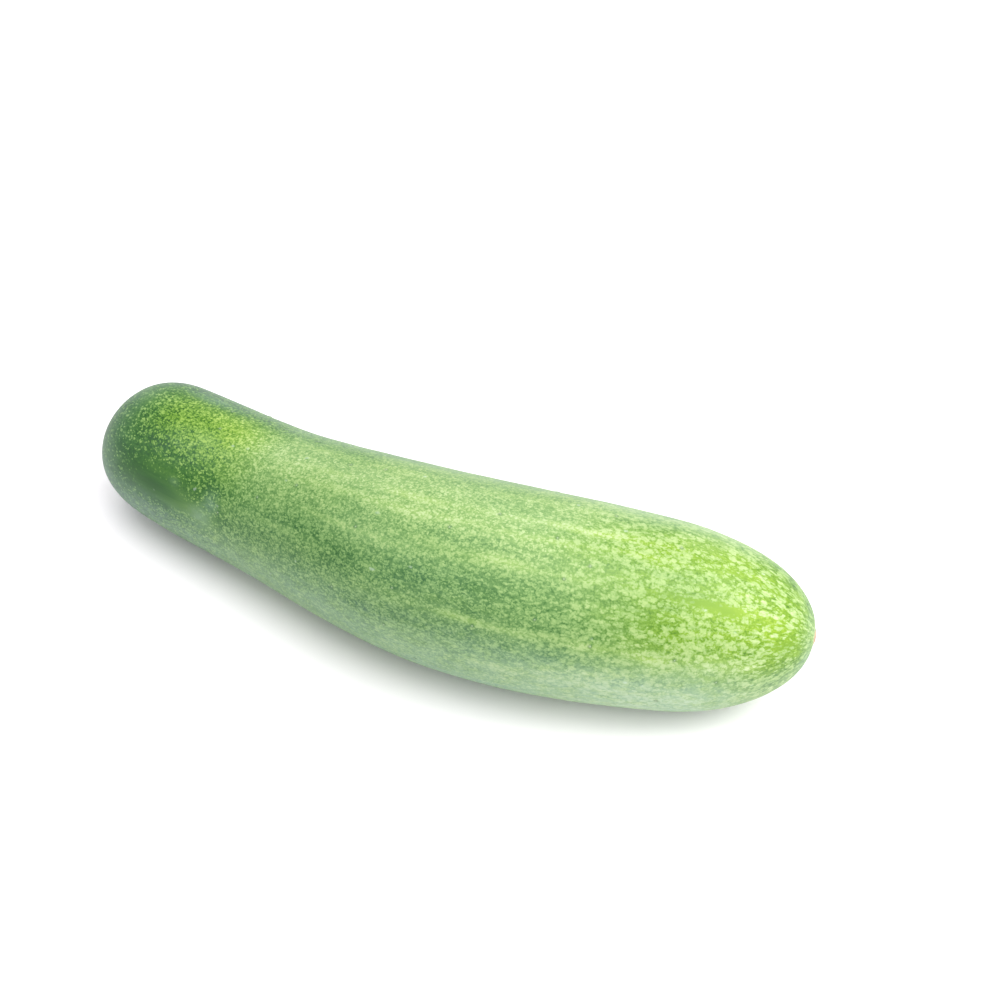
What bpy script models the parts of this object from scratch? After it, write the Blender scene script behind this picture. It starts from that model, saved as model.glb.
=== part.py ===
"""Cucumber: one whole fruit, as picked, lying on its side.

Metres, +Z up. The fruit's length runs along X: the stem end is at -X and the
blossom end at +X. It bends in the ground plane only. The origin is under the
middle of the fruit's box, on the surface that it rests on.

Every section is set out from the centre line by an angle: 0 points across the
fruit towards +Y, 90 degrees is the top, 180 points towards -Y, and 270 is the
underside.
"""

import math

import bmesh
import bpy
import numpy as np

# ---------------------------------------------------------------- dimensions
LENGTH = 0.202            # along the centre line, without the stem stub
HEADINGS_DEG = (-17.6, -8.3, -8.1, 5.7, 16.1, 13.9)   # of the centre line, evenly spaced
RADII = (0.0180, 0.0198, 0.0205, 0.0226, 0.0248, 0.0256, 0.0250, 0.0231, 0.0211)  # of the body, evenly spaced

STEM_CAP = 0.0192         # length of the rounding at the stem end
STEM_BLUNT = 2.89         # its superellipse power: 2 is an ellipse
BLOSSOM_CAP = 0.0384
BLOSSOM_BLUNT = 2.23

REST_HALF_ANGLE = 8.0     # degrees: half of the settled flat along the underside
LEVEL_FROM, LEVEL_TO = 0.14, 0.86   # beyond these the centre line keeps its height
LEVEL_SOFTNESS = 0.05     # how softly it does so

LOBES = 0.006             # three faint lobes, as a share of the radius
RIBS = 0.0025             # ten fainter ribs

STUB_RADIUS = 0.0036      # the broken stalk
STUB_HEIGHT = 0.0010
STUB_DIMPLE = 0.0006      # the shallow ring round it
SCAR_RADIUS = 0.0017      # the dried flower's scar
SCAR_HEIGHT = 0.0003

AROUND = 48               # points round a section
BODY_RINGS = 33
STEM_RINGS = 7
BLOSSOM_RINGS = 9


# ------------------------------------------------------------------ geometry
def spline(values):
    """A natural cubic spline through evenly spaced values, as a function of 0 to 1."""
    y = np.asarray(values, float)
    n = len(y) - 1
    a = np.eye(n + 1)
    b = np.zeros(n + 1)
    for i in range(1, n):
        a[i, i - 1:i + 2] = 1.0, 4.0, 1.0
        b[i] = 6.0 * (y[i - 1] - 2.0 * y[i] + y[i + 1])
    m = np.linalg.solve(a, b)

    def at(t):
        x = np.clip(np.asarray(t, float), 0.0, 1.0) * n
        i = np.minimum(x.astype(int), n - 1)
        f = x - i
        g = 1.0 - f
        return g * y[i] + f * y[i + 1] + ((g ** 3 - g) * m[i] + (f ** 3 - f) * m[i + 1]) / 6.0

    return at


heading = spline(np.radians(HEADINGS_DEG))
body_radius = spline(RADII)


def centre_line():
    """The line's plan position as a function of 0 to 1, with its middle at the origin."""
    t = np.linspace(0.0, 1.0, 2001)
    h = heading(t)
    step = LENGTH / 2000.0
    x = np.concatenate([[0.0], np.cumsum((np.cos(h[1:]) + np.cos(h[:-1])) * step / 2.0)])
    y = np.concatenate([[0.0], np.cumsum((np.sin(h[1:]) + np.sin(h[:-1])) * step / 2.0)])
    x -= x[1000]
    y -= y[1000]

    def at(where):
        # Beyond either end the line runs straight on.
        where = float(where)
        k = min(max(where, 0.0), 1.0)
        over = (where - k) * LENGTH
        a = float(heading(k))
        return (float(np.interp(k, t, x)) + over * math.cos(a),
                float(np.interp(k, t, y)) + over * math.sin(a), a)

    return at


def cap(distance, length, power):
    """How far the radius has opened, 0 to 1, at this distance from an end."""
    u = np.clip(1.0 - distance / length, 0.0, 1.0)
    return (1.0 - u ** power) ** (1.0 / power)


def radius(t):
    s = t * LENGTH
    return float(body_radius(t)
                 * cap(s, STEM_CAP, STEM_BLUNT)
                 * cap(LENGTH - s, BLOSSOM_CAP, BLOSSOM_BLUNT))


def centre_height(t):
    """The underside is level between the end roundings, and lifts at both ends."""
    if t < LEVEL_FROM:
        t = LEVEL_FROM - LEVEL_SOFTNESS * math.tanh((LEVEL_FROM - t) / LEVEL_SOFTNESS)
    elif t > LEVEL_TO:
        t = LEVEL_TO + LEVEL_SOFTNESS * math.tanh((t - LEVEL_TO) / LEVEL_SOFTNESS)
    return float(body_radius(t)) * math.cos(math.radians(REST_HALF_ANGLE))


def section(t, angle):
    """The lobes and ribs, as a factor on the radius. They fade out on the
    underside, where the fruit has settled, and towards both ends."""
    from_base = abs((angle - 270.0 + 180.0) % 360.0 - 180.0)
    k = min(max((from_base - 10.0) / 30.0, 0.0), 1.0)
    k = k * k * (3.0 - 2.0 * k) * math.sin(math.pi * min(max(t, 0.0), 1.0)) ** 0.5
    a = math.radians(angle)
    return 1.0 + k * (LOBES * math.cos(3.0 * a - 0.45) + RIBS * math.cos(10.0 * a + 1.4 * t))


def ring_angles():
    """The lowest two points stand either side of the settled flat, and the
    others are evenly spaced between them, the long way round."""
    first = 270.0 + REST_HALF_ANGLE
    span = 360.0 - 2.0 * REST_HALF_ANGLE
    return [first + span * i / (AROUND - 1) for i in range(AROUND)]


line = centre_line()
angles = ring_angles()


def ring_points(t, r, along=0.0):
    """One section: at t on the line, with this radius, pushed along the line."""
    x, y, a = line(t + along / LENGTH)
    z = centre_height(t)
    touches = LEVEL_FROM <= t <= 1.0 - BLOSSOM_CAP / LENGTH
    points = []
    for i, angle in enumerate(angles):
        p = math.radians(angle)
        q = r * section(t, angle)
        side = q * math.cos(p)
        up = z + q * math.sin(p)
        if touches and i in (0, AROUND - 1):
            up = 0.0
        points.append((x - side * math.sin(a), y + side * math.cos(a), up))
    return points


def cap_stations(length, power, rings, r_inner, r_full):
    """Distances from an end at which the radius opens from r_inner to the full
    one, spaced evenly along the rounding."""
    w0 = math.asin(min((r_inner / r_full) ** (power / 2.0), 1.0))
    found = []
    for i in range(rings):
        w = w0 + (math.pi / 2.0 - w0) * i / rings
        found.append(length * (1.0 - math.cos(w) ** (2.0 / power)))
    return found


def all_rings():
    rings = []

    # The broken stalk, from its middle out: torn face, rim, side, dimple.
    stub = [
        (0.35 * STUB_RADIUS, -0.60 * STUB_HEIGHT),
        (0.80 * STUB_RADIUS, -0.85 * STUB_HEIGHT),
        (1.00 * STUB_RADIUS, -0.70 * STUB_HEIGHT),
        (1.12 * STUB_RADIUS, 0.25 * STUB_DIMPLE),
        (1.35 * STUB_RADIUS, 1.00 * STUB_DIMPLE),
        (1.75 * STUB_RADIUS, 0.80 * STUB_DIMPLE),
    ]
    for r, along in stub:
        rings.append(ring_points(0.0, r, along))

    # The rounding at the stem end.
    for s in cap_stations(STEM_CAP, STEM_BLUNT, STEM_RINGS, 2.4 * STUB_RADIUS, RADII[0]):
        rings.append(ring_points(s / LENGTH, radius(s / LENGTH)))

    # The body, with a ring exactly where it first touches down.
    t_from, t_to = STEM_CAP / LENGTH, 1.0 - BLOSSOM_CAP / LENGTH
    stations = [t_from + (t_to - t_from) * i / (BODY_RINGS - 1) for i in range(BODY_RINGS)]
    k = min(range(BODY_RINGS), key=lambda i: abs(stations[i] - LEVEL_FROM))
    stations[k] = LEVEL_FROM
    for t in stations:
        rings.append(ring_points(t, radius(t)))

    # The rounding at the blossom end.
    far = cap_stations(BLOSSOM_CAP, BLOSSOM_BLUNT, BLOSSOM_RINGS, 1.9 * SCAR_RADIUS, RADII[-1])
    for t in [1.0 - s / LENGTH for s in reversed(far)]:
        rings.append(ring_points(t, radius(t)))

    # The dried flower's scar: a low rim with a pit.
    for r, along in (
        (1.20 * SCAR_RADIUS, -0.20 * SCAR_HEIGHT),
        (1.00 * SCAR_RADIUS, 0.80 * SCAR_HEIGHT),
        (0.70 * SCAR_RADIUS, 1.00 * SCAR_HEIGHT),
        (0.35 * SCAR_RADIUS, 0.30 * SCAR_HEIGHT),
    ):
        rings.append(ring_points(1.0, r, along))
    return rings


def build_mesh():
    bm = bmesh.new()
    before = None
    first = last = None
    for points in all_rings():
        verts = [bm.verts.new(p) for p in points]
        edges = [bm.edges.new((verts[i], verts[(i + 1) % AROUND])) for i in range(AROUND)]
        if before is None:
            first = verts
        else:
            bmesh.ops.bridge_loops(bm, edges=before + edges)
        before, last = edges, verts
    ends = [bm.faces.new(first), bm.faces.new(last)]
    bmesh.ops.poke(bm, faces=ends)
    bmesh.ops.recalc_face_normals(bm, faces=bm.faces[:])

    # The origin goes under the middle of the fruit's box.
    low = [min(v.co[k] for v in bm.verts) for k in range(3)]
    high = [max(v.co[k] for v in bm.verts) for k in range(3)]
    shift = (-(low[0] + high[0]) / 2.0, -(low[1] + high[1]) / 2.0, 0.0)
    bmesh.ops.translate(bm, verts=bm.verts[:], vec=shift)

    mesh = bpy.data.meshes.new("cucumber")
    bm.to_mesh(mesh)
    bm.free()
    mesh.shade_smooth()
    return mesh


def skin():
    material = bpy.data.materials.new("cucumber_skin")
    material.use_nodes = True
    shader = material.node_tree.nodes["Principled BSDF"]
    shader.inputs["Base Color"].default_value = (0.235, 0.420, 0.120, 1.0)
    shader.inputs["Roughness"].default_value = 0.42
    shader.inputs["Metallic"].default_value = 0.0
    return material


def main():
    for old in list(bpy.data.objects):
        bpy.data.objects.remove(old, do_unlink=True)
    mesh = build_mesh()
    mesh.materials.append(skin())
    fruit = bpy.data.objects.new("cucumber", mesh)
    bpy.context.scene.collection.objects.link(fruit)


main()
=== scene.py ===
import math

import bpy
import numpy as np
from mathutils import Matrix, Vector


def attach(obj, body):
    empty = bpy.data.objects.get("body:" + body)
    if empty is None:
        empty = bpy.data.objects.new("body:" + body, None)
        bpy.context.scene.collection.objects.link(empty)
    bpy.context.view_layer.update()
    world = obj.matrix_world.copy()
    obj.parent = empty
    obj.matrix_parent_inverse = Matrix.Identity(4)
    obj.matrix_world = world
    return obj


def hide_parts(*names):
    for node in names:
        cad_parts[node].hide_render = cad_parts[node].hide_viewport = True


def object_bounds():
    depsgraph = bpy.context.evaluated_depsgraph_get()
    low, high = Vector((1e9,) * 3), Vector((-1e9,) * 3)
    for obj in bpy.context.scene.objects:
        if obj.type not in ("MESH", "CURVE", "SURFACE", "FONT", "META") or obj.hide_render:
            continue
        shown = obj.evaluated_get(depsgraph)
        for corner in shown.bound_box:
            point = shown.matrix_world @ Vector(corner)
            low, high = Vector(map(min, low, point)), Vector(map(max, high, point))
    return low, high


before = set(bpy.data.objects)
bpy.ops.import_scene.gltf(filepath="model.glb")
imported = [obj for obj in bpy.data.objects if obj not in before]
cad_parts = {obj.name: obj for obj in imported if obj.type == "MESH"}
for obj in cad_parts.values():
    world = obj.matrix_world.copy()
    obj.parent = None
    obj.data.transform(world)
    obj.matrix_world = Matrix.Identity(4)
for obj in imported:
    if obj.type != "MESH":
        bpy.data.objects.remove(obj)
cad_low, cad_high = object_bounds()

# --------------------------------------------------------------- dimensions
# The same design as the CAD solid, so that the skin lies on it.
LENGTH = 0.202
HEADINGS_DEG = (-17.6, -8.3, -8.1, 5.7, 16.1, 13.9)
RADII = (0.0180, 0.0198, 0.0205, 0.0226, 0.0248, 0.0256, 0.0250, 0.0231, 0.0211)
STEM_CAP, STEM_BLUNT = 0.0192, 2.89
BLOSSOM_CAP, BLOSSOM_BLUNT = 0.0384, 2.23
REST_HALF_ANGLE = 8.0
LEVEL_FROM, LEVEL_TO = 0.14, 0.86
LEVEL_SOFTNESS = 0.05
LOBES, RIBS = 0.006, 0.0025
STUB_RADIUS, STUB_HEIGHT, STUB_DIMPLE = 0.0036, 0.0010, 0.0006
SCAR_RADIUS, SCAR_HEIGHT = 0.0017, 0.0003
MIDDLE = (0.00106, -0.00464)      # where the centre line's middle stands in plan

# The skin's own mesh, much finer than the CAD.
AROUND = 224
STEM_RINGS, BODY_RINGS, BLOSSOM_RINGS = 36, 300, 60
STUB_RINGS, SCAR_RINGS = 30, 16


# -------------------------------------------------------------------- shape
def spline(values):
    """A natural cubic spline through evenly spaced values, as a function of 0 to 1."""
    y = np.asarray(values, float)
    n = len(y) - 1
    a = np.eye(n + 1)
    b = np.zeros(n + 1)
    for i in range(1, n):
        a[i, i - 1:i + 2] = 1.0, 4.0, 1.0
        b[i] = 6.0 * (y[i - 1] - 2.0 * y[i] + y[i + 1])
    m = np.linalg.solve(a, b)

    def at(t):
        x = np.clip(np.asarray(t, float), 0.0, 1.0) * n
        i = np.minimum(x.astype(int), n - 1)
        f = x - i
        g = 1.0 - f
        return g * y[i] + f * y[i + 1] + ((g ** 3 - g) * m[i] + (f ** 3 - f) * m[i + 1]) / 6.0

    return at


heading = spline(np.radians(HEADINGS_DEG))
body_radius = spline(RADII)


def centre_line(where):
    """Plan position and heading at where, 0 to 1, straight on beyond either end."""
    t = np.linspace(0.0, 1.0, 2001)
    h = heading(t)
    step = LENGTH / 2000.0
    x = np.concatenate([[0.0], np.cumsum((np.cos(h[1:]) + np.cos(h[:-1])) * step / 2.0)])
    y = np.concatenate([[0.0], np.cumsum((np.sin(h[1:]) + np.sin(h[:-1])) * step / 2.0)])
    x += MIDDLE[0] - x[1000]
    y += MIDDLE[1] - y[1000]
    k = np.clip(where, 0.0, 1.0)
    over = (where - k) * LENGTH
    a = heading(k)
    return np.interp(k, t, x) + over * np.cos(a), np.interp(k, t, y) + over * np.sin(a), a


def cap(distance, length, power):
    u = np.clip(1.0 - distance / length, 0.0, 1.0)
    return (1.0 - u ** power) ** (1.0 / power)


def radius(t):
    s = t * LENGTH
    return (body_radius(t) * cap(s, STEM_CAP, STEM_BLUNT)
            * cap(LENGTH - s, BLOSSOM_CAP, BLOSSOM_BLUNT))


def centre_height(t):
    soft = LEVEL_SOFTNESS
    t = np.where(t < LEVEL_FROM, LEVEL_FROM - soft * np.tanh((LEVEL_FROM - t) / soft), t)
    t = np.where(t > LEVEL_TO, LEVEL_TO + soft * np.tanh((t - LEVEL_TO) / soft), t)
    return body_radius(t) * math.cos(math.radians(REST_HALF_ANGLE))


def smooth(low, high, x):
    k = np.clip((x - low) / (high - low), 0.0, 1.0)
    return k * k * (3.0 - 2.0 * k)


def section(t, angle):
    """Faint lobes and ribs, as a factor on the radius. angle is in radians."""
    base = np.abs((np.degrees(angle) - 270.0 + 180.0) % 360.0 - 180.0)
    k = smooth(10.0, 40.0, base) * np.sin(np.pi * np.clip(t, 0.0, 1.0)) ** 0.5
    return 1.0 + k * (LOBES * np.cos(3.0 * angle - 0.45) + RIBS * np.cos(10.0 * angle + 1.4 * t))


def waves(points, size, seed, count=28):
    """Soft random lumps about this size across, from -1 to 1, the same each run."""
    rng = np.random.default_rng(seed)
    way = rng.normal(size=(count, 3))
    way /= np.linalg.norm(way, axis=1, keepdims=True)
    pitch = 2.0 * np.pi / (2.0 * size) * rng.uniform(0.6, 1.25, count)
    phase = rng.uniform(0.0, 2.0 * np.pi, count)
    total = np.zeros(points.shape[:-1])
    for w, p, f in zip(way, pitch, phase):
        total += np.cos(points @ (w * p) + f)
    return total / math.sqrt(count / 2.0) / 2.2


# The rings of the skin: t on the line, ring radius, and how far it is pushed along the line.
def ring_table():
    rows = []
    # Broken stalk, from its middle out to the skin.
    profile_r = np.array([0.0, 0.30, 0.60, 0.85, 0.97, 1.03, 1.10, 1.22, 1.45, 1.80, 2.4]) * STUB_RADIUS
    inner = 2.4 * STUB_RADIUS
    w0 = math.asin((inner / RADII[0]) ** (STEM_BLUNT / 2.0))
    s_in = STEM_CAP * (1.0 - math.cos(w0) ** (2.0 / STEM_BLUNT))
    profile_s = np.array([
        -0.50 * STUB_HEIGHT, -0.55 * STUB_HEIGHT, -0.72 * STUB_HEIGHT, -0.88 * STUB_HEIGHT,
        -0.72 * STUB_HEIGHT, -0.30 * STUB_HEIGHT, 0.15 * STUB_DIMPLE, 0.80 * STUB_DIMPLE,
        1.00 * STUB_DIMPLE, 0.62 * STUB_DIMPLE, s_in])
    d = np.concatenate([[0.0], np.cumsum(np.hypot(np.diff(profile_r), np.diff(profile_s)))])
    for x in np.linspace(0.0, d[-1], STUB_RINGS, endpoint=False)[1:]:
        rows.append((0.0, np.interp(x, d, profile_r), np.interp(x, d, profile_s)))
    for i in range(STEM_RINGS):
        w = w0 + (math.pi / 2.0 - w0) * i / STEM_RINGS
        s = STEM_CAP * (1.0 - math.cos(w) ** (2.0 / STEM_BLUNT))
        rows.append((s / LENGTH, None, 0.0))
    a, b = STEM_CAP / LENGTH, 1.0 - BLOSSOM_CAP / LENGTH
    for i in range(BODY_RINGS):
        rows.append((a + (b - a) * i / BODY_RINGS, None, 0.0))
    inner = 1.9 * SCAR_RADIUS
    w1 = math.asin((inner / RADII[-1]) ** (BLOSSOM_BLUNT / 2.0))
    for i in range(BLOSSOM_RINGS + 1):
        w = math.pi / 2.0 - (math.pi / 2.0 - w1) * i / BLOSSOM_RINGS
        s = BLOSSOM_CAP * (1.0 - math.cos(w) ** (2.0 / BLOSSOM_BLUNT))
        rows.append((1.0 - s / LENGTH, None, 0.0))
    s_in = BLOSSOM_CAP * (1.0 - math.cos(w1) ** (2.0 / BLOSSOM_BLUNT))
    profile_r = np.array([1.9, 1.45, 1.15, 1.00, 0.85, 0.70, 0.45, 0.20, 0.0]) * SCAR_RADIUS
    profile_s = np.array([-s_in, -0.35 * SCAR_HEIGHT, 0.05 * SCAR_HEIGHT, 0.65 * SCAR_HEIGHT,
                          0.95 * SCAR_HEIGHT, 0.90 * SCAR_HEIGHT, 0.35 * SCAR_HEIGHT,
                          0.10 * SCAR_HEIGHT, 0.15 * SCAR_HEIGHT])
    d = np.concatenate([[0.0], np.cumsum(np.hypot(np.diff(profile_r), np.diff(profile_s)))])
    for x in np.linspace(0.0, d[-1], SCAR_RINGS + 1, endpoint=False)[1:]:
        rows.append((1.0, np.interp(x, d, profile_r), np.interp(x, d, profile_s)))
    t = np.array([r[0] for r in rows])
    rad = np.array([radius(r[0]) if r[1] is None else r[1] for r in rows])
    along = np.array([r[2] for r in rows])
    return t, rad, along


T, R, ALONG = ring_table()
ANGLES = np.radians(270.0) + np.linspace(0.0, 2.0 * np.pi, AROUND, endpoint=False)
x0, y0, a0 = centre_line(T + ALONG / LENGTH)
z0 = centre_height(T)
tt, aa = np.meshgrid(T, ANGLES, indexing="ij")
ring = R[:, None] * section(tt, aa)
side, up = ring * np.cos(aa), ring * np.sin(aa)
P = np.stack([x0[:, None] - side * np.sin(a0)[:, None],
              y0[:, None] + side * np.cos(a0)[:, None],
              z0[:, None] + up], -1)

# Arc length along the skin from the stem end, and the skin rolled out straight:
# the space in which the markings are laid out, so they follow the fruit's bend.
ARC = np.concatenate([[0.0], np.cumsum(np.hypot(
    np.diff(R), np.diff(T * LENGTH + ALONG)))])
# Close to the flower's scar they are drawn out lengthwise.
LONG = np.concatenate([[0.0], np.cumsum(np.diff(ARC) * (1.0 - 0.60 * smooth(0.88, 0.975, T[1:])))])
blossom_side = smooth(0.25, 0.70, tt)
rolled = R[:, None] + (body_radius(tt) - R[:, None]) * 0.36 * blossom_side
SKIN = np.stack([np.broadcast_to(LONG[:, None], tt.shape), rolled * np.cos(aa), rolled * np.sin(aa)], -1)


def normals(p):
    around = np.roll(p, -1, 1) - np.roll(p, 1, 1)
    along = np.gradient(p, axis=0)
    n = np.cross(around, along)
    n /= np.linalg.norm(n, axis=-1, keepdims=True) + 1e-12
    mid = len(T) // 2
    out = np.sign(((p[mid] - p[mid].mean(0)) * n[mid]).sum())
    return n * out


N = normals(P)

# ----------------------------------------------------------------- markings
# Fields over the skin that say where it is pale, speckled, bare, lime or
# waxy. The material draws the fine pattern that they call for.
PHI = np.degrees(aa) % 360.0


def knots(values, t=tt):
    return spline(values)(t)


def off(angle):
    """Degrees round the skin from this angle, -180 to 180."""
    return (PHI - angle + 180.0) % 360.0 - 180.0


def stripe(t0, t1, from_angle, to_angle, width, seed, ragged=0.45, ends=0.07):
    """A lengthwise band between two places on the length, with ragged strength."""
    k = np.clip((tt - t0) / (t1 - t0), 0.0, 1.0)
    middle = from_angle + (to_angle - from_angle) * k
    middle = middle + 0.9 * np.sin(26.0 * tt + seed) + 0.5 * np.sin(61.0 * tt + 2.0 * seed)
    reach = smooth(t0 - ends, t0 + ends, tt) * (1.0 - smooth(t1 - ends, t1 + ends, tt))
    rough = 1.0 - ragged + ragged * waves(SKIN * np.array([0.5, 1.0, 1.0]), 0.004, 300 + seed)
    return reach * np.exp(-(off(middle) / width) ** 2) * np.clip(rough, 0.0, 1.5)


def patch(t, angle, half_t, half_angle):
    return np.exp(-((tt - t) / half_t) ** 2 - (off(angle) / half_angle) ** 2)


# How pale the skin is on the whole: dark at the stalk, paler towards the flower.
tone = knots((0.150, 0.115, 0.160, 0.215, 0.215, 0.230, 0.235, 0.275, 0.305, 0.350, 0.270))
# Paler along the top, where the light falls from above: painted top light.
painted_top_light = np.exp(-(off(88.0) / np.where(off(88.0) < 0.0, 18.0 + 20.0 * smooth(0.30, 0.60, tt), 36.0)) ** 2)
tone = tone + painted_top_light * knots((0.03, 0.100, 0.165, 0.150, 0.125, 0.135, 0.115, 0.095, 0.055, 0.010, 0.0))
# Paler on the near lower side and underside: painted bounce light from the floor.
painted_floor_bounce = smooth(152.0, 186.0, PHI) * (1.0 - smooth(322.0, 352.0, PHI))
tone = tone + painted_floor_bounce * knots((0.02, 0.035, 0.050, 0.055, 0.048, 0.048, 0.060, 0.080, 0.085, 0.00, 0.0))
# At the flower end: lighter at 126 degrees, and painted shade along the far top side at 52 degrees.
tone = tone + smooth(0.88, 0.945, tt) * (0.060 * np.exp(-(off(126.0) / 26.0) ** 2) - 0.060 * np.exp(-(off(52.0) / 24.0) ** 2))
# Paler round the far upper side, out to the top rim: painted sheen where the skin turns away at a grazing angle.
painted_far_rim_sheen = np.exp(-(off(20.0) / 30.0) ** 2)
tone = tone + painted_far_rim_sheen * knots((0.01, 0.03, 0.05, 0.06, 0.06, 0.06, 0.06, 0.06, 0.04, 0.02, 0.0))

stripes = (
    0.123 * stripe(0.24, 0.78, 98.0, 89.0, 2.9, 1)
    + 0.109 * stripe(0.50, 0.76, 121.0, 119.0, 3.8, 2)
    + 0.160 * stripe(0.54, 0.69, 156.0, 154.5, 2.5, 3)
    + 0.138 * stripe(0.71, 0.87, 158.0, 160.0, 3.6, 4)
    + 0.123 * stripe(0.58, 0.92, 181.0, 193.0, 3.8, 5)
    + 0.072 * stripe(0.30, 0.55, 107.0, 105.0, 2.9, 6)
    + 0.087 * stripe(0.33, 0.60, 127.0, 124.0, 2.7, 7)
    + 0.072 * stripe(0.28, 0.48, 145.0, 141.0, 2.5, 15)
    + 0.072 * stripe(0.46, 0.80, 104.0, 101.0, 2.7, 16)
    + 0.065 * stripe(0.30, 0.74, 78.0, 72.0, 3.4, 17)
    # Round the sides that face away, the same rhythm goes on.
    + 0.123 * stripe(0.25, 0.85, 222.0, 226.0, 3.8, 8)
    + 0.109 * stripe(0.20, 0.80, 257.0, 260.0, 4.7, 9)
    + 0.123 * stripe(0.30, 0.88, 293.0, 290.0, 4.3, 10)
    + 0.116 * stripe(0.22, 0.82, 328.0, 325.0, 3.8, 11)
    + 0.123 * stripe(0.28, 0.86, 2.0, -2.0, 3.8, 12)
    + 0.102 * stripe(0.20, 0.80, 34.0, 31.0, 3.4, 13)
    + 0.087 * stripe(0.40, 0.88, 62.0, 59.0, 3.8, 14)
)
valleys = (
    0.055 * stripe(0.44, 0.70, 167.0, 167.0, 5.0, 21, 0.3)
    + 0.045 * stripe(0.40, 0.66, 140.0, 138.0, 6.0, 22, 0.3)
    + 0.035 * stripe(0.30, 0.60, 114.0, 112.0, 3.0, 27, 0.3)
    + 0.045 * patch(0.805, 72.0, 0.055, 7.0)
    + 0.050 * patch(0.145, 158.0, 0.045, 14.0)
    + 0.022 * patch(0.176, 160.0, 0.020, 8.0)
    + 0.030 * patch(0.225, 136.0, 0.050, 8.0)
    + 0.040 * patch(0.300, 160.0, 0.060, 8.0)
    + 0.060 * stripe(0.35, 0.70, 242.0, 244.0, 6.0, 23, 0.3)
    + 0.055 * stripe(0.40, 0.75, 309.0, 308.0, 6.0, 24, 0.3)
    + 0.050 * stripe(0.35, 0.75, 344.0, 342.0, 6.0, 25, 0.3)
    + 0.050 * stripe(0.40, 0.75, 17.0, 15.0, 6.0, 26, 0.3)
)
# Single paler and darker places.
tone = tone + (
    0.009
    + 0.066 * patch(0.100, 70.0, 0.045, 11.0)
    + 0.014 * patch(0.080, 116.0, 0.060, 18.0)
    + 0.060 * patch(0.400, 115.0, 0.028, 5.0)
    - 0.016 * patch(0.410, 105.0, 0.030, 4.5)
    + 0.046 * patch(0.250, 146.0, 0.022, 6.0)
    + 0.014 * patch(0.190, 137.0, 0.030, 6.0)
    + 0.012 * patch(0.290, 135.0, 0.050, 5.0)
    - 0.020 * patch(0.695, 95.0, 0.030, 5.0)
    - 0.015 * patch(0.620, 207.0, 0.100, 8.0)
    + 0.028 * patch(0.925, 166.0, 0.028, 6.0)
    - 0.014 * patch(0.895, 115.0, 0.020, 5.0)
    - 0.032 * patch(0.500, 64.0, 0.040, 6.0)
    + 0.032 * patch(0.700, 75.0, 0.035, 6.0)
    + 0.020 * patch(0.825, 69.0, 0.040, 8.0)
    + 0.030 * patch(0.915, 160.0, 0.035, 9.0)
    - 0.025 * patch(0.150, 166.0, 0.025, 6.0)
    - 0.014 * patch(0.120, 182.0, 0.040, 8.0)
    + 0.040 * patch(0.975, 198.0, 0.028, 14.0)
    - 0.022 * patch(0.970, 143.0, 0.018, 7.0)
    + 0.012 * patch(0.830, 205.0, 0.080, 8.0))
long_space = SKIN * np.array([0.4, 1.0, 1.0])
tone = tone + stripes - valleys
tone = tone + 0.014 * waves(long_space, 0.009, 33) + 0.012 * waves(long_space, 0.004, 36)

# Bare skin, with none of the speckles.
bare = np.clip(
    1.15 * patch(0.134, 157.0, 0.040, 12.0)
    + 0.95 * patch(0.172, 159.5, 0.022, 8.5)
    + 0.55 * patch(0.204, 162.0, 0.018, 6.0)
    + 0.45 * patch(0.232, 163.0, 0.022, 7.0)
    + 1.00 * patch(0.866, 121.8, 0.024, 3.0)
    + 0.90 * patch(0.893, 123.4, 0.013, 3.8)
    + 0.50 * patch(0.820, 121.0, 0.030, 2.2)
    + 0.34 * patch(0.945, 127.0, 0.026, 4.5)
    + 0.45 * patch(0.960, 146.0, 0.022, 9.0)
    + 0.72 * stripe(0.84, 0.965, 92.0, 98.5, 2.0, 41, 0.4, 0.03)
    + 0.50 * stripe(0.84, 0.96, 168.0, 172.0, 2.2, 42, 0.5)
    + 0.50 * stripe(0.84, 0.96, 262.0, 259.0, 2.4, 43, 0.5)
    + 0.50 * stripe(0.82, 0.96, 322.0, 326.0, 2.4, 44, 0.5)
    + 0.55 * stripe(0.82, 0.96, 21.0, 24.0, 2.4, 45, 0.5)
    + 0.45 * patch(0.120, 240.0, 0.050, 18.0)
    + 0.50 * patch(0.100, 330.0, 0.045, 16.0), 0.0, 1.0)

# Yellow-green without the grey of the wax, at the shoulder and the flower end.
lime = np.clip(
    1.00 * (1.0 - smooth(0.20, 0.30, tt)) * smooth(0.055, 0.120, tt) * (0.20 + 0.80 * np.exp(-(off(103.0) / 34.0) ** 2))
    + 1.00 * smooth(0.66, 0.84, tt) * np.exp(-(off(118.0) / 46.0) ** 4)
    + 0.35 * smooth(0.76, 0.90, tt)
    + 0.65 * smooth(0.90, 0.965, tt) * np.exp(-(off(108.0) / 62.0) ** 4)
    + 2.0 * stripes * np.exp(-(off(110.0) / 60.0) ** 4)
    + 0.16 * np.clip(waves(SKIN * np.array([0.35, 1.0, 1.0]), 0.010, 46), -0.5, 1.6) * smooth(0.24, 0.34, tt)
    + 0.28 * patch(0.700, 103.0, 0.045, 12.0)
    + 0.40 * bare * smooth(0.5, 0.7, tt), 0.0, 1.0)
lime = lime * (1.0 - 0.40 * patch(0.850, 84.0, 0.030, 6.0) - 0.40 * patch(0.880, 161.0, 0.040, 9.0))
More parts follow.
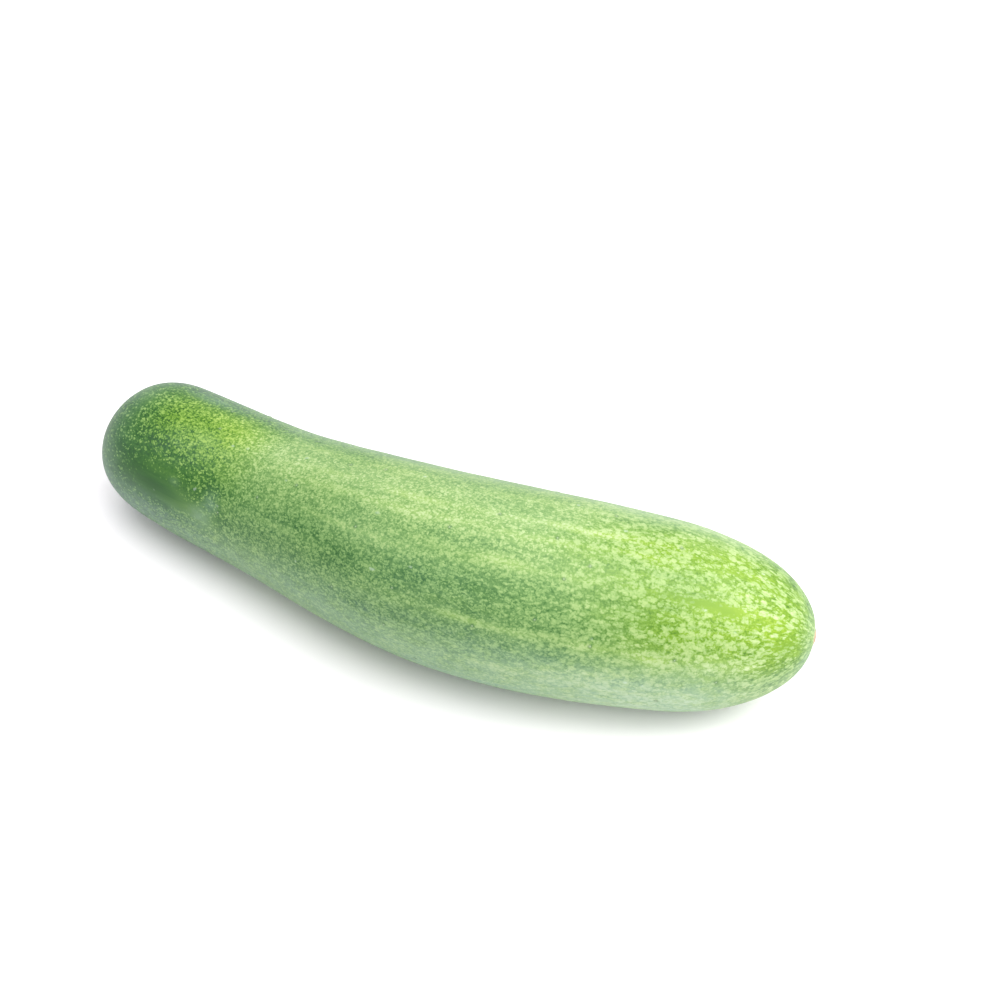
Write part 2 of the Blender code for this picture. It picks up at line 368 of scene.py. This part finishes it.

# Blue-grey wax with painted sheen, heaviest along the lower rim and underside, round the top rim and at the stalk end,
# where the skin catches reflection at a grazing angle.
wax_and_painted_sheen = np.clip(
    (0.45 + 0.40 * smooth(0.45, 0.80, tt)) * smooth(150.0, 192.0, PHI) * (1.0 - smooth(330.0, 380.0, PHI))
    + 0.30 * np.exp(-(off(48.0) / 22.0) ** 2)
    + 0.35 * (1.0 - smooth(0.02, 0.085, tt))
    + 0.50 * patch(0.232, 150.0, 0.012, 9.0)
    + 0.40 * patch(0.215, 163.0, 0.016, 8.0)
    + 0.30 * patch(0.140, 66.0, 0.040, 7.0)
    + 0.25 * patch(0.170, 147.0, 0.010, 4.0)
    + 0.22 * patch(0.100, 190.0, 0.060, 20.0)
    + 0.16 * patch(0.620, 207.0, 0.100, 8.0)
    + 0.16 * patch(0.850, 206.0, 0.070, 10.0)
    + 0.10 * waves(long_space, 0.008, 51), 0.0, 1.0)
wax_and_painted_sheen = wax_and_painted_sheen * (1.0 - 0.75 * smooth(0.86, 0.96, tt)) + 0.22 * smooth(0.978, 0.992, tt)

# How much of the skin the pale grains take up.
shoulder = 1.0 - smooth(0.165, 0.285, tt + 0.022 * waves(P, 0.010, 71) + 0.012 * waves(P, 0.004, 73))
cluster = smooth(0.06, 0.10, tt) * np.exp(-(off(101.0 + 60.0 * (tt - 0.15)) / 25.0) ** 4)
cover = shoulder * (0.26 + 0.44 * cluster) + (1.0 - shoulder) * (0.66 + 0.12 * smooth(0.62, 0.85, tt))
cover = cover + shoulder * (0.30 * patch(0.175, 170.0, 0.030, 9.0) + 0.25 * smooth(172.0, 186.0, PHI))
cover = cover + 0.10 * waves(long_space, 0.006, 72) + 1.6 * (stripes - 0.6 * valleys)
cover = cover - 0.12 * smooth(0.90, 0.96, tt)
cover = np.clip(cover * (1.0 - 0.97 * bare), 0.0, 0.95)
coarse = smooth(0.60, 0.80, tt)
calm = np.clip(5.5 * stripes, 0.0, 0.75)

# Small warts where the young fruit's spines stood.
def wart_places():
    rng = np.random.default_rng(12)
    found = [(0.452, 124.0), (0.683, 99.0), (0.700, 122.0), (0.726, 112.0), (0.560, 108.0), (0.610, 92.0),
             (0.300, 130.0), (0.345, 112.0), (0.520, 150.0), (0.830, 88.0), (0.248, 152.0)]
    while len(found) < 64:
        t, a = rng.uniform(0.10, 0.93), rng.uniform(0.0, 360.0)
        near = min(math.hypot((t - b) * 202.0, ((a - c + 180.0) % 360.0 - 180.0) * 0.42) for b, c in found)
        if near > 9.0:
            found.append((t, a))
    return found


nearest = np.full(tt.shape, 1.0)
wart = np.full(tt.shape + (3,), 1.0)
for t, a in wart_places():
    i = int(np.argmin(np.abs(T - t)))
    j = int(np.argmin(np.abs((np.degrees(ANGLES) - a + 180.0) % 360.0 - 180.0)))
    away = P - P[i, j]
    d = np.linalg.norm(away, axis=-1)
    closer = d < nearest
    nearest = np.where(closer, d, nearest)
    wart = np.where(closer[..., None], away, wart)

# Low lumps that any grown fruit has, the warts, and the torn stalk.
body = smooth(0.0045, 0.009, R)[:, None] * np.ones_like(tt)
relief = body * (0.00009 * waves(P, 0.017, 3) + 0.00004 * waves(P, 0.0055, 4))
relief = relief + 0.00013 * np.exp(-(nearest / 0.00062) ** 2)
relief = relief - 0.00005 * np.exp(-((nearest - 0.0013) / 0.0006) ** 2)
end = (tt == 0.0) * (1.0 - smooth(0.0034, 0.0042, R))[:, None]
relief = relief + end * (0.00016 * waves(P, 0.0008, 61) + 0.00010 * waves(P, 0.0004, 62))
end = (tt == 1.0) * 1.0
relief = relief + end * 0.00003 * waves(P, 0.0004, 63)
P = P + N * relief[..., None]

# The underside settles flat.
w = 0.00004
z = P[..., 2]
P[..., 2] = np.where(z > 20 * w, z, w * np.log1p(np.exp(np.minimum(z, 20 * w) / w)))


def build_skin():
    rings, cols = tt.shape
    verts = P.reshape(-1, 3)
    first = P[0].mean(0) + np.array([0.0, 0.0, 0.0])
    last = P[-1].mean(0)
    verts = np.concatenate([verts, first[None], last[None]])
    i = np.arange(rings - 1)[:, None] * cols
    j = np.arange(cols)[None]
    jn = (j + 1) % cols
    quads = np.stack([i + j, i + jn, i + cols + jn, i + cols + j], -1).reshape(-1, 4)
    j, jn = np.arange(cols), (np.arange(cols) + 1) % cols
    fan_a = np.stack([np.full(cols, rings * cols), jn, j], -1)
    fan_b = np.stack([np.full(cols, rings * cols + 1), (rings - 1) * cols + j, (rings - 1) * cols + jn], -1)
    # Quads are given so that they face out.
    a, b, c = verts[quads[len(quads) // 2][:3]]
    mid = P[rings // 2].mean(0)
    if np.dot(np.cross(b - a, c - a), a - mid) < 0:
        quads, fan_a, fan_b = quads[:, ::-1], fan_a[:, ::-1], fan_b[:, ::-1]
    faces = quads.tolist() + fan_a.tolist() + fan_b.tolist()
    # The fine skin keeps inside the solid's own box.
    low, high = np.array(cad_low), np.array(cad_high)
    for k in range(3):
        a, b = verts[:, k].min(), verts[:, k].max()
        size = min(b - a, high[k] - low[k] - 2e-6)
        verts[:, k] = (verts[:, k] - a) * size / (b - a)
        verts[:, k] += min(max(a, low[k] + 1e-6), high[k] - 1e-6 - size)
    mesh = bpy.data.meshes.new("cucumber_skin")
    mesh.from_pydata(verts.tolist(), [], faces)
    mesh.shade_smooth()

    def spread(values, ends):
        return np.concatenate([values.reshape(len(verts) - 2, -1), np.asarray(ends, float).reshape(2, -1)])

    def add(name, kind, values, ends):
        layer = mesh.attributes.new(name, kind, "POINT")
        data = spread(values, ends).astype(np.float32).ravel()
        layer.data.foreach_set("vector" if kind == "FLOAT_VECTOR" else "value", data)

    add("skin", "FLOAT_VECTOR", SKIN, [[0.0, 0.0, 0.0], [LONG[-1] + R[-1], 0.0, 0.0]])
    add("along", "FLOAT", tt, [0.0, 1.0])
    add("wart", "FLOAT_VECTOR", wart, [[1.0, 1.0, 1.0]] * 2)
    add("stalk", "FLOAT", np.where(tt < 0.5, R[:, None], 1.0), [0.0, 1.0])
    # The flower's scar sits a touch up and outward of the very end.
    i = int(np.argmin(np.where(T > 0.5, np.abs(R - 0.0011), 1.0)))
    spot = P[i, int(np.argmin(np.abs(np.degrees(ANGLES) % 360.0 - 146.0)))]
    add("flower", "FLOAT", np.where(tt > 0.5, np.linalg.norm(P - spot, axis=-1), 1.0),
        [1.0, float(np.linalg.norm(last - spot))])
    for name, field in (("tone", tone), ("bare", bare), ("lime", lime), ("wax_and_painted_sheen", wax_and_painted_sheen),
                        ("coarse", coarse), ("cover", cover), ("calm", calm)):
        add(name, "FLOAT", field, [field[0].mean(), field[-1].mean()])

    # One clean map: along the fruit in one direction, around it in the other, cut underneath.
    u_ring = (ARC + 0.002) / (ARC[-1] + 0.004)
    loops = np.empty(len(mesh.loops), np.int32)
    mesh.loops.foreach_get("vertex_index", loops)
    start = np.empty(len(mesh.polygons), np.int32)
    total = np.empty(len(mesh.polygons), np.int32)
    mesh.polygons.foreach_get("loop_start", start)
    mesh.polygons.foreach_get("loop_total", total)
    face = np.repeat(np.arange(len(start)), total)
    col = loops % cols
    row = np.minimum(loops // cols, rings - 1)
    v = col / cols
    u = u_ring[row]
    pole = loops >= rings * cols
    # A face that crosses the cut has its far side at 1 instead of 0.
    highest = np.zeros(len(start))
    np.maximum.at(highest, face, np.where(pole, 0.0, v))
    v = np.where((v < 0.25) & (highest[face] > 0.75), v + 1.0, v)
    count = np.zeros(len(start))
    sums = np.zeros(len(start))
    np.add.at(sums, face, np.where(pole, 0.0, v))
    np.add.at(count, face, np.where(pole, 0.0, 1.0))
    v = np.where(pole, (sums / np.maximum(count, 1.0))[face], v)
    u = np.where(loops == rings * cols, 0.0005, np.where(loops == rings * cols + 1, 0.9995, u))
    uv = mesh.uv_layers.new(name="OFBake")
    uv.data.foreach_set("uv", np.stack([u, v], -1).astype(np.float32).ravel())
    mesh.validate()
    obj = bpy.data.objects.new("cucumber_skin", mesh)
    bpy.context.scene.collection.objects.link(obj)
    return obj


skin = build_skin()


# ---------------------------------------------------------------- materials
def simple_material(name, colour, roughness):
    m = bpy.data.materials.new(name)
    m.use_nodes = True
    b = m.node_tree.nodes["Principled BSDF"]
    b.inputs["Base Color"].default_value = (*colour, 1.0)
    b.inputs["Roughness"].default_value = roughness
    return m



class Nodes:
    """Short names for making and joining shader nodes."""

    def __init__(self, name):
        self.material = bpy.data.materials.new(name)
        self.material.use_nodes = True
        self.tree = self.material.node_tree
        self.shader = self.tree.nodes["Principled BSDF"]

    def put(self, socket, value):
        if isinstance(value, bpy.types.NodeSocket):
            self.tree.links.new(value, socket)
        else:
            socket.default_value = value

    def field(self, name, out="Fac"):
        n = self.tree.nodes.new("ShaderNodeAttribute")
        n.attribute_name = name
        return n.outputs[out]

    def maths(self, operation, a, b=0.0, c=0.0, clamp=False):
        n = self.tree.nodes.new("ShaderNodeMath")
        n.operation, n.use_clamp = operation, clamp
        for i, v in enumerate((a, b, c)):
            self.put(n.inputs[i], v)
        return n.outputs[0]

    def vector(self, operation, a, b=(0.0, 0.0, 0.0), out=0):
        n = self.tree.nodes.new("ShaderNodeVectorMath")
        n.operation = operation
        self.put(n.inputs[0], a)
        self.put(n.inputs[1], b)
        return n.outputs[out]

    def step(self, value, low, high, to_low=0.0, to_high=1.0):
        n = self.tree.nodes.new("ShaderNodeMapRange")
        n.interpolation_type = "SMOOTHSTEP"
        for socket, v in zip(n.inputs[:5], (value, low, high, to_low, to_high)):
            self.put(socket, v)
        return n.outputs[0]

    def noise(self, at, scale, detail=2.0, roughness=0.5, distortion=0.0):
        n = self.tree.nodes.new("ShaderNodeTexNoise")
        self.put(n.inputs["Vector"], at)
        n.inputs["Scale"].default_value = scale
        n.inputs["Detail"].default_value = detail
        n.inputs["Roughness"].default_value = roughness
        n.inputs["Distortion"].default_value = distortion
        return n.outputs["Fac"]

    def cells(self, at, scale, feature="F1", randomness=1.0):
        n = self.tree.nodes.new("ShaderNodeTexVoronoi")
        n.feature = feature
        self.put(n.inputs["Vector"], at)
        n.inputs["Scale"].default_value = scale
        n.inputs["Randomness"].default_value = randomness
        return n.outputs["Distance"], n.outputs["Color"]

    def mix(self, share, a, b):
        n = self.tree.nodes.new("ShaderNodeMix")
        n.data_type = "RGBA"
        self.put(n.inputs[0], share)
        self.put(n.inputs[6], a)
        self.put(n.inputs[7], b)
        return n.outputs[2]

    def blend(self, share, a, b):
        n = self.tree.nodes.new("ShaderNodeMix")
        n.data_type = "FLOAT"
        self.put(n.inputs[0], share)
        self.put(n.inputs[2], a)
        self.put(n.inputs[3], b)
        return n.outputs[0]

    def ramp(self, value, stops):
        n = self.tree.nodes.new("ShaderNodeValToRGB")
        n.color_ramp.interpolation = "LINEAR"
        e = n.color_ramp.elements
        while len(e) < len(stops):
            e.new(0.5)
        for i, (at, colour) in enumerate(stops):
            e[i].position = at
            e[i].color = (*colour, 1.0)
        self.put(n.inputs[0], value)
        return n.outputs[0]


def cucumber_material():
    m = Nodes("cucumber_skin")
    mm = m.vector("MULTIPLY", m.field("skin", "Vector"), (1000.0, 1000.0, 1000.0))
    bare, cover, big = m.field("bare"), m.field("cover"), m.field("coarse")
    clear = m.maths("SUBTRACT", 1.0, m.maths("MULTIPLY", bare, 0.90))
    tip = m.step(m.field("along"), 0.88, 0.955)
    stem = m.step(m.field("along"), 0.31, 0.20)

    # Every place is pushed a little aside, so that no grain is round.
    wander = m.tree.nodes.new("ShaderNodeTexNoise")
    m.put(wander.inputs["Vector"], mm)
    wander.inputs["Scale"].default_value = 1.1
    wander.inputs["Detail"].default_value = 2.0
    shift = m.vector("MULTIPLY", m.vector("SUBTRACT", wander.outputs["Color"], (0.5, 0.5, 0.5)), (1.3, 1.0, 1.0))
    at = m.vector("ADD", mm, shift)

    # Pale grains in three sizes; the cover field says how many are there.
    def grains(stretch, scale, low, high, share):
        near, colour = m.cells(m.vector("MULTIPLY", at, (stretch, 1.0, 1.0)), scale)
        split = m.tree.nodes.new("ShaderNodeSeparateColor")
        m.put(split.inputs[0], colour)
        size = m.blend(split.outputs[1], low, high)
        spot = m.step(near, m.maths("ADD", size, 0.16), m.maths("SUBTRACT", size, 0.16))
        gate = m.maths("SUBTRACT", share, split.outputs[0])
        return m.maths("MULTIPLY", spot, m.step(gate, -0.06, 0.14))

    # Towards the flower they also gather in lengthwise rows.
    rows = m.maths("SUBTRACT", m.noise(m.vector("MULTIPLY", mm, (0.13, 1.0, 1.0)), 0.42, 3.0, 0.6), 0.5)
    cover = m.maths("ADD", cover, m.maths("MULTIPLY", m.maths("MULTIPLY", rows, big), m.maths("MULTIPLY", cover, 1.9)))
    dense = m.maths("MULTIPLY", cover, 1.15)
    crowd = m.step(cover, 0.35, 0.66)
    tiny = grains(0.90, 1.90, 0.38, 0.66, dense)
    small = grains(0.80, 1.10, 0.32, 0.64, m.maths("MULTIPLY", cover, m.blend(big, m.blend(crowd, 0.45, 0.85), 1.0)))
    broad = grains(0.66, 0.74, 0.36, 0.66, m.maths("MULTIPLY", m.maths("SUBTRACT", cover, 0.25), m.blend(big, 0.9, 1.45)))
    speckle = m.maths("ADD", m.maths("MULTIPLY", tiny, m.blend(big, 0.58, 0.30)),
                      m.maths("MULTIPLY", small, m.blend(big, 0.42, 0.50)))
    speckle = m.maths("ADD", speckle, m.maths("MULTIPLY", broad, m.blend(big, 0.12, 0.60)))
    grit = m.maths("SUBTRACT", m.noise(m.vector("MULTIPLY", mm, (0.85, 1.0, 1.0)), 1.75, 2.0, 0.62), 0.5)
    speckle = m.maths("ADD", speckle, m.maths("MULTIPLY", grit, m.maths("MULTIPLY", cover, 2.2)))
    speckle = m.maths("MAXIMUM", speckle, -0.25)
    # Where grains crowd together they level off.
    speckle = m.maths("SUBTRACT", speckle, m.maths("MULTIPLY", m.maths("MAXIMUM", m.maths("SUBTRACT", speckle, 0.80), 0.0), 0.6))

    # Short lengthwise streaks, clouds, and slow drifts of colour.
    streak = m.maths("SUBTRACT", m.noise(m.vector("MULTIPLY", mm, (0.10, 1.0, 1.0)), 0.80, 2.0, 0.6), 0.5)
    beside = m.vector("ADD", m.vector("MULTIPLY", mm, (0.40, 1.0, 1.0)), (41.3, 17.9, 8.6))
    drift = m.maths("SUBTRACT", m.noise(beside, 0.19, 4.0, 0.62), 0.5)
    even = m.maths("MULTIPLY", cover, 0.66)
    value = m.maths("MULTIPLY", m.maths("SUBTRACT", speckle, even),
                    m.maths("ADD", m.blend(big, m.blend(crowd, 0.255, 0.202), 0.205),
                            m.maths("ADD", m.maths("MULTIPLY", tip, 0.058), m.maths("MULTIPLY", stem, 0.060))))
    value = m.maths("MULTIPLY", value, m.maths("SUBTRACT", clear, m.maths("MULTIPLY", m.field("calm"), 0.55)))
    value = m.maths("ADD", m.field("tone"), value)
    value = m.maths("SUBTRACT", value, m.maths("MULTIPLY", m.maths("MULTIPLY", bare, big), 0.068))
    value = m.maths("ADD", value, m.maths("MULTIPLY", streak, 0.050))
    value = m.maths("ADD", value, m.maths("MULTIPLY", drift, m.blend(bare, 0.095, 0.060)))

    # The run of colour from deep green to cream.
    colour = m.ramp(value, (
        (0.060, (0.009, 0.060, 0.010)),
        (0.090, (0.018, 0.088, 0.014)),
        (0.120, (0.036, 0.120, 0.024)),
        (0.170, (0.070, 0.170, 0.040)),
        (0.250, (0.128, 0.250, 0.072)),
        (0.300, (0.172, 0.300, 0.092)),
        (0.350, (0.222, 0.350, 0.116)),
        (0.400, (0.275, 0.400, 0.145)),
        (0.470, (0.355, 0.470, 0.210)),
        (0.600, (0.520, 0.600, 0.380)),
    ))
    # Lime skin has less blue in it, most of all between the grains.
    on_grains = m.maths("ADD", m.blend(tip, 0.22, 0.13), m.maths("MULTIPLY", stem, 0.42))
    between = m.step(speckle, 0.72, 0.10, on_grains, 1.0)
    limed = m.tree.nodes.new("ShaderNodeMix")
    limed.data_type, limed.blend_type = "RGBA", "MULTIPLY"
    m.put(limed.inputs[0], m.maths("MULTIPLY", m.field("lime"), between))
    m.put(limed.inputs[6], colour)
    limed.inputs[7].default_value = (0.95, 1.0, 0.15, 1.0)
    colour = limed.outputs[2]
    # Wax and painted rim sheen grey it in one blue-grey, and are patchy.
    patchy = m.noise(m.vector("MULTIPLY", mm, (0.5, 1.0, 1.0)), 0.45, 4.0, 0.65)
    wax_and_sheen_share = m.maths("MULTIPLY", m.field("wax_and_painted_sheen"), m.step(patchy, 0.30, 0.62, 0.60, 1.20))
    colour = m.mix(m.maths("MULTIPLY", wax_and_sheen_share, 0.42, clamp=True), colour, (0.33, 0.45, 0.43, 1.0))
    # A few pale scuffs.
    rub, tint = m.cells(m.vector("MULTIPLY", at, (0.8, 1.0, 1.0)), 0.30)
    rare = m.tree.nodes.new("ShaderNodeSeparateColor")
    m.put(rare.inputs[0], tint)
    scuff = m.maths("MULTIPLY", m.step(rub, 0.17, 0.05), m.step(rare.outputs[0], 0.87, 0.90))
    colour = m.mix(m.maths("MULTIPLY", scuff, 0.38), colour, (0.50, 0.60, 0.50, 1.0))

    # Warts: a darker ring round a pale tip.
    away = m.maths("MULTIPLY", m.vector("LENGTH", m.field("wart", "Vector"), out=1), 1000.0)
    uneven = m.maths("ADD", away, m.maths("MULTIPLY", grit, 0.9))
    ring = m.step(uneven, 0.85, 0.30)
    colour = m.mix(m.maths("MULTIPLY", ring, 0.50), colour, (0.040, 0.110, 0.040, 1.0))
    colour = m.mix(m.maths("MULTIPLY", m.step(away, 0.26, 0.10), 0.40), colour, (0.50, 0.58, 0.42, 1.0))

    # The dried flower's scar.
    edge = m.maths("MULTIPLY", m.maths("SUBTRACT", m.noise(mm, 1.6, 3.0, 0.6), 0.5), 1.1)
    r = m.maths("ADD", m.maths("MULTIPLY", m.field("flower"), 1000.0), edge)
    flower = m.ramp(m.maths("DIVIDE", r, 4.0), (
        (0.05, (0.20, 0.105, 0.050)),
        (0.16, (0.34, 0.200, 0.110)),
        (0.30, (0.56, 0.400, 0.270)),
        (0.42, (0.50, 0.420, 0.290)),
        (0.55, (0.26, 0.330, 0.170)),
    ))
    colour = m.mix(m.step(r, 2.5, 1.7), colour, flower)
    # The torn stalk: yellow-green fibres inside a corky collar.
    r = m.maths("ADD", m.maths("MULTIPLY", m.field("stalk"), 1000.0), edge)
    stalk = m.ramp(m.maths("DIVIDE", r, 8.0), (
        (0.05, (0.24, 0.26, 0.060)),
        (0.20, (0.42, 0.45, 0.130)),
        (0.36, (0.50, 0.46, 0.210)),
        (0.46, (0.44, 0.40, 0.290)),
        (0.58, (0.30, 0.34, 0.250)),
        (0.80, (0.13, 0.22, 0.130)),
    ))
    fibre = m.noise(mm, 2.6, 4.0, 0.7)
    stalk = m.mix(m.step(fibre, 0.35, 0.65, 0.0, 0.45), stalk, (0.60, 0.60, 0.42, 1.0))
    colour = m.mix(m.step(r, 6.6, 4.1), colour, stalk)
    m.put(m.shader.inputs["Base Color"], colour)

    # Gloss: satin, a little rougher on speckles and on the wax and painted sheen, dry on the scars.
    rough = m.maths("ADD", 0.44, m.maths("MULTIPLY", speckle, 0.10))
    rough = m.maths("ADD", rough, m.maths("MULTIPLY", wax_and_sheen_share, 0.14))
    rough = m.maths("ADD", rough, m.maths("MULTIPLY", m.maths("SUBTRACT", m.noise(mm, 3.0, 3.0, 0.6), 0.5), 0.16))
    dry = m.maths("MAXIMUM", m.step(m.field("stalk"), 0.0046, 0.0036), m.step(m.field("flower"), 0.0021, 0.0016))
    m.put(m.shader.inputs["Roughness"], m.blend(dry, rough, 0.85))
    m.shader.inputs["IOR"].default_value = 1.40

    # Relief finer than the mesh: speckles stand a hair proud, over a fine grain.
    lift = m.maths("ADD", m.maths("MULTIPLY", speckle, 0.5), m.maths("MULTIPLY", m.noise(mm, 2.2, 3.0, 0.6), 0.5))
    lift = m.maths("ADD", lift, m.maths("MULTIPLY", m.maths("MULTIPLY", fibre, dry), 4.0))
    bump = m.tree.nodes.new("ShaderNodeBump")
    bump.inputs["Strength"].default_value = 0.55
    bump.inputs["Distance"].default_value = 0.00006
    m.put(bump.inputs["Height"], lift)
    m.put(m.shader.inputs["Normal"], bump.outputs[0])
    return m.material


skin.data.materials.append(cucumber_material())

# -------------------------------------------------------------------- stage
mesh = bpy.data.meshes.new("floor")
s = 3.0
mesh.from_pydata([(-s, -s, 0), (s, -s, 0), (s, s, 0), (-s, s, 0)], [], [(0, 1, 2, 3)])
floor = bpy.data.objects.new("floor", mesh)
floor.location.z = -0.0001
bpy.context.scene.collection.objects.link(floor)
floor_material = simple_material("floor_white", (0.930, 0.908, 0.936), 0.9)
floor_material.node_tree.nodes["Principled BSDF"].inputs["Specular IOR Level"].default_value = 0.0
floor.data.materials.append(floor_material)

AZIMUTH, ELEVATION = 25.0, 45.0
az = math.radians(AZIMUTH)
target = Vector((0.01066, 0.02235, 0.0258))
back = Vector((math.sin(az) * math.cos(math.radians(ELEVATION)),
               -math.cos(az) * math.cos(math.radians(ELEVATION)),
               math.sin(math.radians(ELEVATION))))
lens = bpy.data.cameras.new("camera")
lens.lens, lens.sensor_width = 60.0, 36.0
lens.clip_start, lens.clip_end = 0.01, 20.0
camera = bpy.data.objects.new("camera", lens)
camera.location = target + back * 0.44
camera.rotation_mode = "QUATERNION"
camera.rotation_quaternion = (-back).to_track_quat("-Z", "Y")
bpy.context.scene.collection.objects.link(camera)
bpy.context.scene.camera = camera


def turned(right, away, height):
    """A place given as seen from the camera: to its right, away from it, and up."""
    return Vector((right * math.cos(az) - away * math.sin(az),
                   right * math.sin(az) + away * math.cos(az), height))


def softbox(name, at, size, power, colour=(1.0, 1.0, 1.0)):
    lamp = bpy.data.lights.new(name, "AREA")
    lamp.shape = "DISK"
    lamp.size = size
    lamp.energy = power
    lamp.color = colour
    obj = bpy.data.objects.new(name, lamp)
    obj.location = at
    obj.rotation_mode = "QUATERNION"
    obj.rotation_quaternion = (Vector((0.0, 0.0, 0.02)) - at).to_track_quat("-Z", "Y")
    bpy.context.scene.collection.objects.link(obj)


softbox("softbox_top", turned(0.0, 0.0, 1.0), 0.9, 4.6)
softbox("softbox_right", turned(0.8, 0.1, 0.8), 0.9, 6.6)
softbox("softbox_front", turned(0.5, -0.5, 0.9), 0.9, 7.7)

world = bpy.data.worlds.new("studio")
world.use_nodes = True
world.node_tree.nodes["Background"].inputs["Color"].default_value = (1.0, 1.0, 1.0, 1.0)
world.node_tree.nodes["Background"].inputs["Strength"].default_value = 0.80
bpy.context.scene.world = world
bpy.context.scene.view_settings.view_transform = "Standard"
bpy.context.scene.view_settings.look = "None"

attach(skin, "root")
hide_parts("cucumber")
